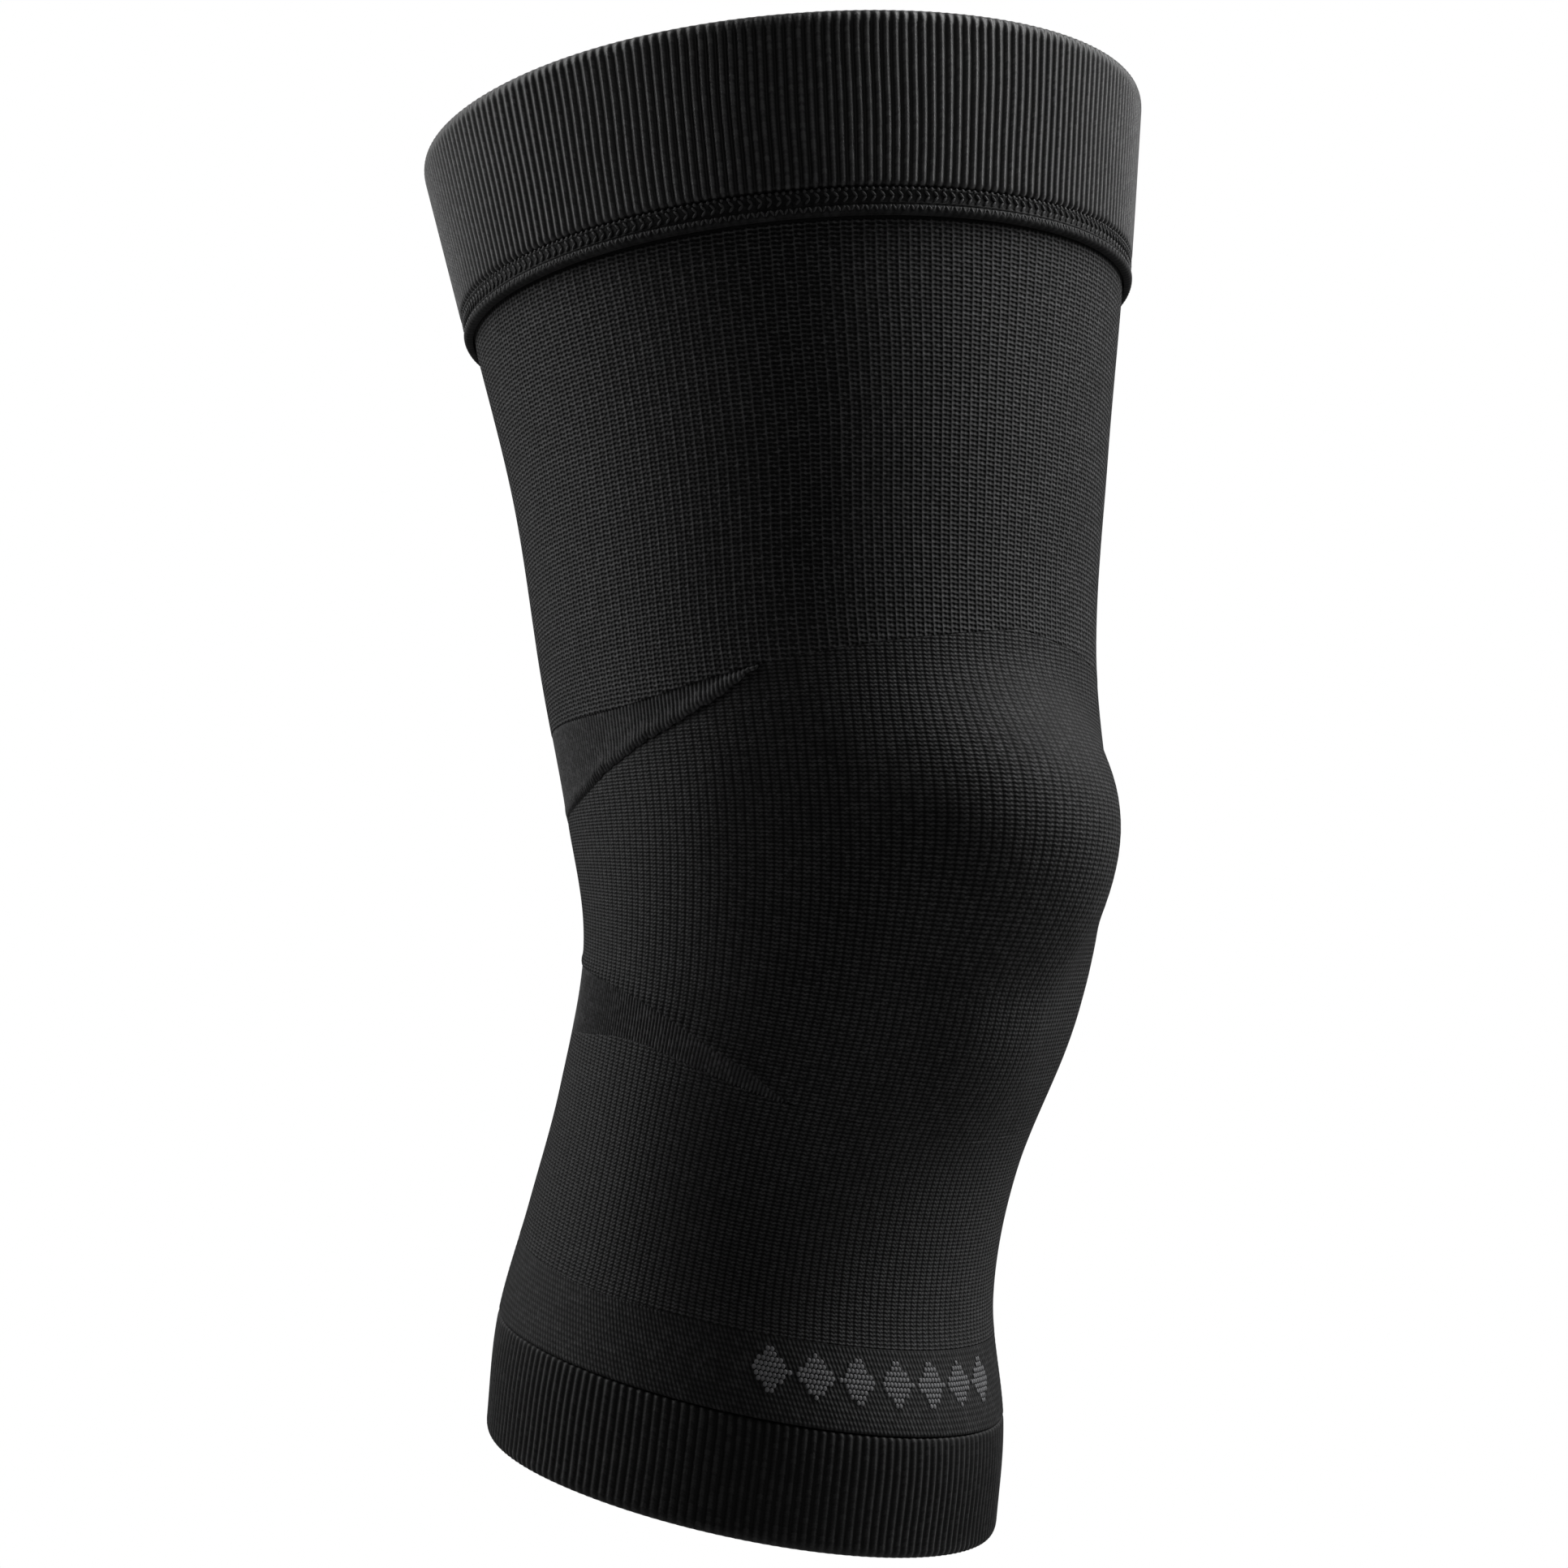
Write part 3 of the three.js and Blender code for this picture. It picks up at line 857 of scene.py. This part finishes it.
def guide(name, height, angle, out, slant):
    """A mesh of loose points on the sleeve. slant turns the stitches, in degrees from upright."""
    height, angle = np.broadcast_arrays(np.asarray(height, float), np.asarray(angle, float))
    wandering = angle + sway(height, angle)
    point = on_sleeve(height, wandering, out)
    upwards = on_sleeve(height + PROBE_UP, wandering, out) - point
    sideways = on_sleeve(height, wandering + PROBE_ROUND, out) - point
    upwards /= np.linalg.norm(upwards, axis=-1, keepdims=True)
    sideways /= np.linalg.norm(sideways, axis=-1, keepdims=True)
    outward = np.cross(sideways, upwards)
    lean = math.radians(slant)
    along = upwards * math.cos(lean) + sideways * math.sin(lean)
    mesh = bpy.data.meshes.new(name)
    mesh.vertices.add(angle.size)
    mesh.vertices.foreach_set("co", point.reshape(-1))
    for label, directions in (("outward", outward), ("along", along)):
        attribute = mesh.attributes.new(label, "FLOAT_VECTOR", "POINT")
        attribute.data.foreach_set("vector", directions.reshape(-1))
    made = bpy.data.objects.new(name, mesh)
    scene.collection.objects.link(made)
    return made


def read_all(items, label, kind, width=1):
    """One property of all vertices, corners or faces as a flat array."""
    values = np.empty(len(items) * width, kind)
    items.foreach_get(label, values)
    return values


def stitch(name, guides, material):
    """Runs the stitch tree on each guide and joins the results into one plain mesh."""
    points, loops, sizes, first = [], [], [], 0
    for holder, stitch_size in guides:
        modifier = holder.modifiers.new("stitches", "NODES")
        modifier.node_group = stitches_along
        for label, size in zip(("Width", "Length", "Thickness"), stitch_size):
            modifier[STITCH_SOCKETS[label]] = size * MM
        modifier[STITCH_SOCKETS["Yarn"]] = material
        dressed = holder.evaluated_get(bpy.context.evaluated_depsgraph_get())
        part = bpy.data.meshes.new_from_object(dressed)
        points.append(read_all(part.vertices, "co", np.float32, 3))
        loops.append(read_all(part.loops, "vertex_index", np.int32) + first)
        sizes.append(read_all(part.polygons, "loop_total", np.int32))
        first += len(part.vertices)
        bpy.data.objects.remove(holder)
    made = plain_mesh(name, np.concatenate(points), np.concatenate(loops), np.concatenate(sizes))
    made.data.materials.append(material)
    return made


print("inputs of a stitch:", ", ".join(STITCH_SOCKETS))

# %% [markdown]
# ## Yarn and knit
# All the yarn is the same black, brushed nylon and elastane. What differs is how it is knitted. One
# function makes a knit from a pattern: the pattern says how high the yarn lies at each place, from the UV
# map's ribs and millimetres. The colour follows that height as painted light and shade: high yarn is painted
# lighter, and deep yarn is painted nearly black, as the shade between the loops. Every stitch is also a
# little lighter or darker than the next. A fine fuzz breaks up the highlights, and now and then a loop is
# painted bright as a glint.

# %% Knit finish
# Painted shade: the colour of the deepest yarn.
PAINTED_DEEP_SHADE = (0.0022, 0.0022, 0.0023, 1)
OBJECT_OUTPUT = 3  # the place of Object among Texture Coordinate's outputs
FUZZ_SCALE = 3600.0
PATCH_SCALE = 55.0
COOL = 1.02  # the yarn is a touch bluer than grey


def knit(name, pattern, shade, relief, roughness=0.72, sheen=0.06, gloss=0.30, variety=1.0):
    """A knitted finish. pattern(u, v) gives the yarn's height from 0 to 1 and a number for each stitch.

    shade: how light the highest yarn is. relief: the height of the bumps in mm. variety: how much the
    stitches differ."""
    material = bpy.data.materials.new(name)
    material.use_nodes = True
    tree = Tree(material.node_tree)
    place = tree.node("ShaderNodeUVMap", {"uv_map": "Knit"})
    u = tree.node("ShaderNodeSeparateXYZ", {}, {0: place})
    v = u.other_output(1)
    height, across, along = pattern(u, v)
    cell = tree.node("ShaderNodeCombineXYZ", {}, {0: across.whole(), 1: along.whole()})
    chance = tree.node("ShaderNodeTexWhiteNoise", {"noise_dimensions": "2D"}, {"Vector": cell})
    coordinates = tree.node("ShaderNodeTexCoord", output=OBJECT_OUTPUT)
    fuzz = tree.node("ShaderNodeTexNoise", {}, {
        "Vector": coordinates, "Scale": FUZZ_SCALE, "Detail": 2.0, "Roughness": 0.6})
    patches = tree.node("ShaderNodeTexNoise", {}, {
        "Vector": coordinates, "Scale": PATCH_SCALE, "Detail": 2.0})
    # Painted glints: now and then a stitch is painted bright. The rest of the unevenness is random stitch
    # tone.
    painted_glints = chance ** 9
    uneven_tone_and_glints = 0.6 * (chance - 0.5) + 1.5 * painted_glints + 1.1 * (fuzz - 0.5) + 0.25 * (patches - 0.5)
    lively_tone_and_glints = 0.8 + variety * uneven_tone_and_glints
    # The tone is painted light and shade by yarn height, plus random stitch tone and painted glints.
    tone = height.step(0.12, 1.0) * lively_tone_and_glints
    colour = tree.mix(tone, PAINTED_DEEP_SHADE, (shade, shade, shade * COOL, 1))
    surface = height + 0.25 * (fuzz - 0.5) + 0.2 * (chance - 0.5)
    bump = tree.node("ShaderNodeBump", {}, {"Strength": 1.0, "Distance": relief * MM, "Height": surface})
    rough = roughness + 0.25 * (0.5 - fuzz)
    shader = tree.node("ShaderNodeBsdfPrincipled", {}, {
        "Base Color": colour, "Roughness": rough, "Normal": bump, "Specular IOR Level": gloss,
        "Sheen Weight": sheen, "Sheen Roughness": 0.4})
    tree.node("ShaderNodeOutputMaterial", {}, {"Surface": shader})
    return material


print("deep yarn is", PAINTED_DEEP_SHADE[0], "light")

# %% [markdown]
# ## Stitch patterns
# A pattern is a little arithmetic on u and v. Waves that peak on whole numbers draw the columns and the
# courses, a power makes a wave's peak narrower, and a product of two waves is a dot. Each pattern also says
# which stitch a place belongs to, so that the finish can give every stitch a tone of its own.

# %% Stitch patterns
MESH_COURSE = 0.87  # mm
PAINTED_FOLD_SHADE_FROM = LENGTH_ABOVE / MM - 5
PAINTED_FOLD_SHADE_TO = LENGTH_ABOVE / MM - 0.5
STRIP_SHADOW_FROM = SEAM_LOW / MM - 0.9
STRIP_SHADOW_TO = SEAM_LOW / MM - 0.1


def rib_pattern(course, groove, rim=0):
    """A cord of plain stitches, V after V, between grooves with painted shade. rim: how much painted shade
    darkens the fold on top.
    """
    def pattern(u, v):
        rows = v / course + abs((u + 0.5).fraction() - 0.5) * 1.2
        # Painted shade: the fold on top of the cuff is darkened in the colour.
        fold = v.step(PAINTED_FOLD_SHADE_FROM, PAINTED_FOLD_SHADE_TO)
        # Painted shade in the grooves between the ribs.
        grooves = 1 - groove * (u + 0.5).wave() ** 0.9
        return grooves * (0.8 + 0.2 * rows.wave()) * (1 - rim * fold), u + 0.5, rows
    return pattern


def mesh_pattern(u, v):
    """Thin bright wales with two columns of dark holes between them. Under the strip it carries a painted
    shadow.
    """
    rows = v / MESH_COURSE
    wale = u.wave() ** 8
    left_holes = (u - 0.27).wave() ** 3 * rows.wave()
    right_holes = (u - 0.73).wave() ** 3 * (rows + 0.2).wave()
    loops = (u - 0.5).wave() ** 4 * (rows * 0.5 + 0.25).wave() ** 3
    # Painted shadow under the strip's rolled edge.
    shadow = v.step(STRIP_SHADOW_FROM, STRIP_SHADOW_TO)
    bars = (rows + 0.5).wave()
    yarn_height = 0.52 + 0.2 * bars + 0.26 * wale + 0.36 * loops - 1.1 * (left_holes + right_holes)
    return yarn_height * (1 - 0.75 * shadow), u * 3, rows


def ladder_pattern(course, gap, middle):
    """Courses of short bright dashes. gap: how dark it is between columns. middle: the same within one."""
    def pattern(u, v):
        rows = v / course
        between_courses = 0.5 + 0.5 * (rows + 0.5).wave()
        gaps = (gap * (u + 0.5).wave() ** 3 + middle * u.wave() ** 6) * between_courses
        dashes = (rows + 0.22 * (2 * u).wave()).wave()
        return (0.25 + 0.75 * dashes) * (1 - gaps), u * 2, rows
    return pattern


def seed_pattern(u, v):
    """Cross ridges of slanting stitches, offset from row to row."""
    rows = v / (STRIPE / MM)
    slants = (2 * u + 0.5 * rows).wave()
    ridges = 0.4 + 0.6 * rows.wave()
    return 0.25 + 0.06 * rows.wave() + 0.69 * slants * ridges, u * 2, rows


print("the mesh has", round(1 / MESH_COURSE, 2), "courses to the millimetre")

# %% [markdown]
# ## The knits
# The cuffs' ribs are smooth and shine a little. The calf cuff is given a darker tone, painted shade for
# ribs that lie in each other's shadow. The tube's panels differ in their pattern more than in their tone.
# The strip is nearly black, so its stitches stand out.

# %% The knits
CUFF_YARN = 0.105
PANEL_YARN = 0.088

# rim paints shade onto the thigh cuff's fold.
cuff_rib = knit(
    "Cuff rib", rib_pattern(0.8, 0.97, rim=0.5), CUFF_YARN, 0.08,
    roughness=0.5, sheen=0.35, gloss=0.6, variety=0.7)
# The calf cuff's tone is a third of the thigh cuff's: painted shade.
calf_rib = knit(
    "Calf rib", rib_pattern(0.75, 0.85), CUFF_YARN * 0.33, 0.10, roughness=0.65, sheen=0.1, gloss=0.4)
mesh_knit = knit("Mesh knit", mesh_pattern, PANEL_YARN * 1.22, 0.24)
knee_knit = knit("Knee ladder knit", ladder_pattern(0.70, 0.95, 0.3), PANEL_YARN * 0.88, 0.22)
calf_knit = knit("Calf ladder knit", ladder_pattern(0.70, 0.95, 0.1), PANEL_YARN * 0.92, 0.22, variety=0.7)
plain_knit = knit("Plain wedge knit", rib_pattern(0.6, 0.6), PANEL_YARN * 1.25, 0.12, variety=0.7)
stripe_knit = knit("Cross striped knit", seed_pattern, PANEL_YARN * 0.66, 0.18, variety=0.8)
strip_knit = knit("Strip knit", rib_pattern(0.9, 0.5), PANEL_YARN * 0.32, 0.12)
print("knits:", ", ".join(material.name for material in bpy.data.materials))

# %% [markdown]
# ## Yarn of single stitches
# The loops that are modelled one by one need no pattern. Their yarn is only mottled, as twisted filaments
# are, with the same fine fuzz as the knits.


# %% Yarn for single stitches
def stitch_yarn(name, colour, roughness=0.6, sheen=0.06):
    """Twisted yarn for the loops that are modelled one by one."""
    material = bpy.data.materials.new(name)
    material.use_nodes = True
    tree = Tree(material.node_tree)
    coordinates = tree.node("ShaderNodeTexCoord", output=OBJECT_OUTPUT)
    fuzz = tree.node("ShaderNodeTexNoise", {}, {"Vector": coordinates, "Scale": 3200.0, "Detail": 2.0})
    strands = tree.node("ShaderNodeTexNoise", {}, {"Vector": coordinates, "Scale": 700.0, "Detail": 1.0})
    share = 0.15 + 0.9 * strands + 0.5 * (fuzz - 0.5)
    dark = tuple(part * 0.45 for part in colour) + (1,)
    tone = tree.mix(share, dark, (*colour, 1))
    bump = tree.node("ShaderNodeBump", {}, {"Strength": 1.0, "Distance": 0.06 * MM, "Height": fuzz})
    shader = tree.node("ShaderNodeBsdfPrincipled", {}, {
        "Base Color": tone, "Roughness": roughness + 0.2 * (fuzz - 0.5), "Normal": bump,
        "Specular IOR Level": 0.35, "Sheen Weight": sheen, "Sheen Roughness": 0.4})
    tree.node("ShaderNodeOutputMaterial", {}, {"Surface": shader})
    return material


black_yarn = stitch_yarn("Black seam yarn", (0.10, 0.10, 0.102))
grey_yarn = stitch_yarn("Light grey yarn", (0.30, 0.30, 0.31), roughness=0.55, sheen=0.1)
print("finishes:", len(bpy.data.materials))

# %% [markdown]
# ## Stitching on the strip
# Small beads show where the ribs end. Across the strip's middle run two rows of strokes that lean opposite
# ways, as a herringbone, and along the rolled edge lie the two legs of each loop.

# %% Strip stitches
BEADS = 320
STROKES = 232
StitchRow = namedtuple("StitchRow", "name count offset rise out slant size")
# offset: a share of one stitch. rise: mm over the strip's lower edge. out: mm from its face.
# slant: degrees. size: mm wide, long and thick
STRIP_ROWS = [
    StitchRow("beads", BEADS, 0, SEAM_HEIGHT / MM - 0.35, -0.02, 0, (0.72, 0.75, 0.42)),
    StitchRow("strokes", STROKES, 0, 3.75, 0.02, -42, (0.55, 1.45, 0.42)),
    StitchRow("counter_strokes", STROKES, 0, 2.75, 0.02, 42, (0.55, 1.45, 0.42)),
    StitchRow("left_legs", STROKES, 0.27, 1.05, 0.33, -30, (0.50, 1.30, 0.44)),
    StitchRow("right_legs", STROKES, 0.73, 1.05, 0.33, 30, (0.50, 1.30, 0.44)),
]

strip_guides = []
for row in STRIP_ROWS:
    angles = (np.arange(row.count) + row.offset) * 360 / row.count
    holder = guide(row.name, SEAM_LOW + row.rise * MM, angles, STRIP_FACE + row.out * MM, row.slant)
    strip_guides.append((holder, row.size))
seam_stitches = stitch("seam_stitches", strip_guides, black_yarn)

# %% [markdown]
# ## The light grey motif
# Low on the shin a small motif is knitted in light grey. It is a plain row of lozenges, built up from single
# stitches in a honeycomb, as a knitting machine makes it.

# %% Lozenges
LOZENGES = 7
LOZENGE_FROM, LOZENGE_TO = -46, 26  # degrees from the front
LOZENGE_LOW, LOZENGE_HIGH = -99.0 * MM, -90.0 * MM
LOZENGE_SLIMNESS = 1.12
LOZENGE_EDGE = 0.98
NEEDLE = 360 / (2 * WALES)  # degrees from one stitch to the next
MOTIF_COURSE = 0.9 * MM
MOTIF_STAND = 0.10 * MM
MOTIF_STITCH = (0.86, 1.02, 0.34)  # mm wide, long and thick


def lozenge_stitches():
    """Heights and angles of the grey stitches."""
    rows = np.arange(round((LOZENGE_HIGH - LOZENGE_LOW) / MOTIF_COURSE) + 1)
    needles = np.arange(round((LOZENGE_TO - LOZENGE_FROM) / NEEDLE) + 1)
    row, needle = np.meshgrid(rows, needles, indexing="ij")
    place = needle + 0.5 * (row % 2)
    angle = LOZENGE_FROM + place * NEEDLE
    height = LOZENGE_LOW + row * MOTIF_COURSE
    pitch = (LOZENGE_TO - LOZENGE_FROM) / LOZENGES
    sideways = np.abs(((angle - LOZENGE_FROM) / pitch) % 1 - 0.5) * 2
    upwards = np.abs(row / (len(rows) - 1) - 0.5) * 2
    inside = sideways * LOZENGE_SLIMNESS + upwards < LOZENGE_EDGE
    return height[inside], angle[inside]


motif_height, motif_angle = lozenge_stitches()
motif_guide = guide("motif_guide", motif_height, motif_angle, MOTIF_STAND, 0)
lozenge_motif = stitch("lozenge_motif", [(motif_guide, MOTIF_STITCH)], grey_yarn)
print("stitches in the motif:", len(motif_angle))

# %% [markdown]
# ## Finishes on the pieces
# Each piece gets its knit and rides on the sleeve's only body, and the plain solid it stands for is
# hidden.

# %% Dress and attach
DRESSED = [
    (thigh_cuff, cuff_rib, "cuff_rib", "thigh_cuff"),
    (calf_cuff, calf_rib, "calf_rib", "calf_cuff"),
    (thigh_panel, mesh_knit, "body_knit", "sleeve_body"),
    (knee_panel, knee_knit, "body_knit", "sleeve_body"),
    (calf_panel, calf_knit, "body_knit", "sleeve_body"),
    (striped_zone, stripe_knit, "body_knit", "sleeve_body"),
    (upper_wedge, plain_knit, "body_knit", "sleeve_body"),
    (lower_wedge, plain_knit, "body_knit", "sleeve_body"),
    (lozenge_motif, None, "body_knit", "sleeve_body"),
    (seam_band, strip_knit, "seam_stitch", "seam_strip"),
    (seam_stitches, None, "seam_stitch", "seam_strip"),
]
for piece, finish, slot, node in DRESSED:
    if finish:
        piece.data.materials.append(finish)
    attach(piece, "root")
    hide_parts(node)
print("pieces:", ", ".join(row[0].name for row in DRESSED))

# %% [markdown]
# ## Floor and room
# The picture was taken in white surroundings. The floor is plain and pale, and lies well below. Room and
# floor are bright where the camera sees them and throw almost no light back, so the black yarn keeps its
# depth.

# %% Floor and world
FLOOR_HEIGHT = -1.0
FLOOR_RADIUS = 3
FLOOR_CORNERS = 96
ROOM_LIGHT = 0.010


def studio_floor():
    turns = [2 * math.pi * k / FLOOR_CORNERS for k in range(FLOOR_CORNERS)]
    ring = [(FLOOR_RADIUS * math.cos(turn), FLOOR_RADIUS * math.sin(turn), FLOOR_HEIGHT) for turn in turns]
    mesh = bpy.data.meshes.new("studio_floor")
    mesh.from_pydata(ring, [], [range(FLOOR_CORNERS)])
    made = bpy.data.objects.new("studio_floor", mesh)
    scene.collection.objects.link(made)
    material = bpy.data.materials.new("Pale floor")
    material.use_nodes = True
    tree = Tree(material.node_tree)
    coordinates = tree.node("ShaderNodeTexCoord", output=OBJECT_OUTPUT)
    mottle = tree.node("ShaderNodeTexNoise", {}, {"Vector": coordinates, "Scale": 4.0})
    paint = tree.mix(mottle, (0.86, 0.86, 0.86, 1), (0.9, 0.9, 0.9, 1))
    seen = tree.node("ShaderNodeLightPath")
    shader = tree.node("ShaderNodeBsdfPrincipled", {}, {
        "Base Color": paint, "Roughness": 0.8,
        "Emission Color": tree.mix(seen, (0, 0, 0, 1), (0.78, 0.78, 0.78, 1)), "Emission Strength": 1.0})
    tree.node("ShaderNodeOutputMaterial", {}, {"Surface": shader})
    mesh.materials.append(material)


def white_room(strength):
    """White where the camera sees it, and a dimmer light on the sleeve."""
    world = bpy.data.worlds.new("white_room")
    world.use_nodes = True
    tree = Tree(world.node_tree)
    seen = tree.node("ShaderNodeLightPath")
    level = strength + (1.0 - strength) * seen
    shader = tree.node("ShaderNodeBackground", {}, {"Color": (1, 1, 1, 1), "Strength": level})
    tree.node("ShaderNodeOutputWorld", {}, {"Surface": shader})
    scene.world = world


studio_floor()
white_room(ROOM_LIGHT)
print("floor at", FLOOR_HEIGHT, "m")

# %% [markdown]
# ## Lights
# A tall soft light stands a little behind the sleeve on each side, so both edges are lighter and the middle
# stays dark. The right one is the stronger. A narrow rim light brightens the far left edge, and two weak
# lights in front keep the middle from going black.

# %% Soft lights
SoftBox = namedtuple("SoftBox", "name beside elevation distance width height power")
# beside: degrees from the camera's side. Lengths are in metres and powers in watts
SOFT_BOXES = [
    SoftBox("left_box", -97, 38, 0.9, 0.35, 0.9, 3.9),
    SoftBox("left_rim", -118, 30, 1.0, 0.35, 1.0, 1.8),
    SoftBox("right_box", 99, 42, 1.0, 0.4, 1.0, 9.4),
    SoftBox("right_front_box", 74, 48, 1.0, 0.35, 0.5, 0.7),
    SoftBox("front_fill", 0, 12, 1.5, 0.8, 0.8, 0.6),
]

for box in SOFT_BOXES:
    light = bpy.data.lights.new(box.name, "AREA")
    light.shape = "RECTANGLE"
    light.size, light.size_y, light.energy = box.width, box.height, box.power
    place = towards(CAMERA_SIDE + box.beside, box.elevation) * box.distance
    lamp = bpy.data.objects.new(box.name, light)
    lamp.rotation_mode = "QUATERNION"
    lamp.rotation_quaternion = place.to_track_quat("Z", "Y")
    lamp.location = place
    scene.collection.objects.link(lamp)
scene.view_settings.view_transform = "Standard"
print("lights:", ", ".join(box.name for box in SOFT_BOXES))
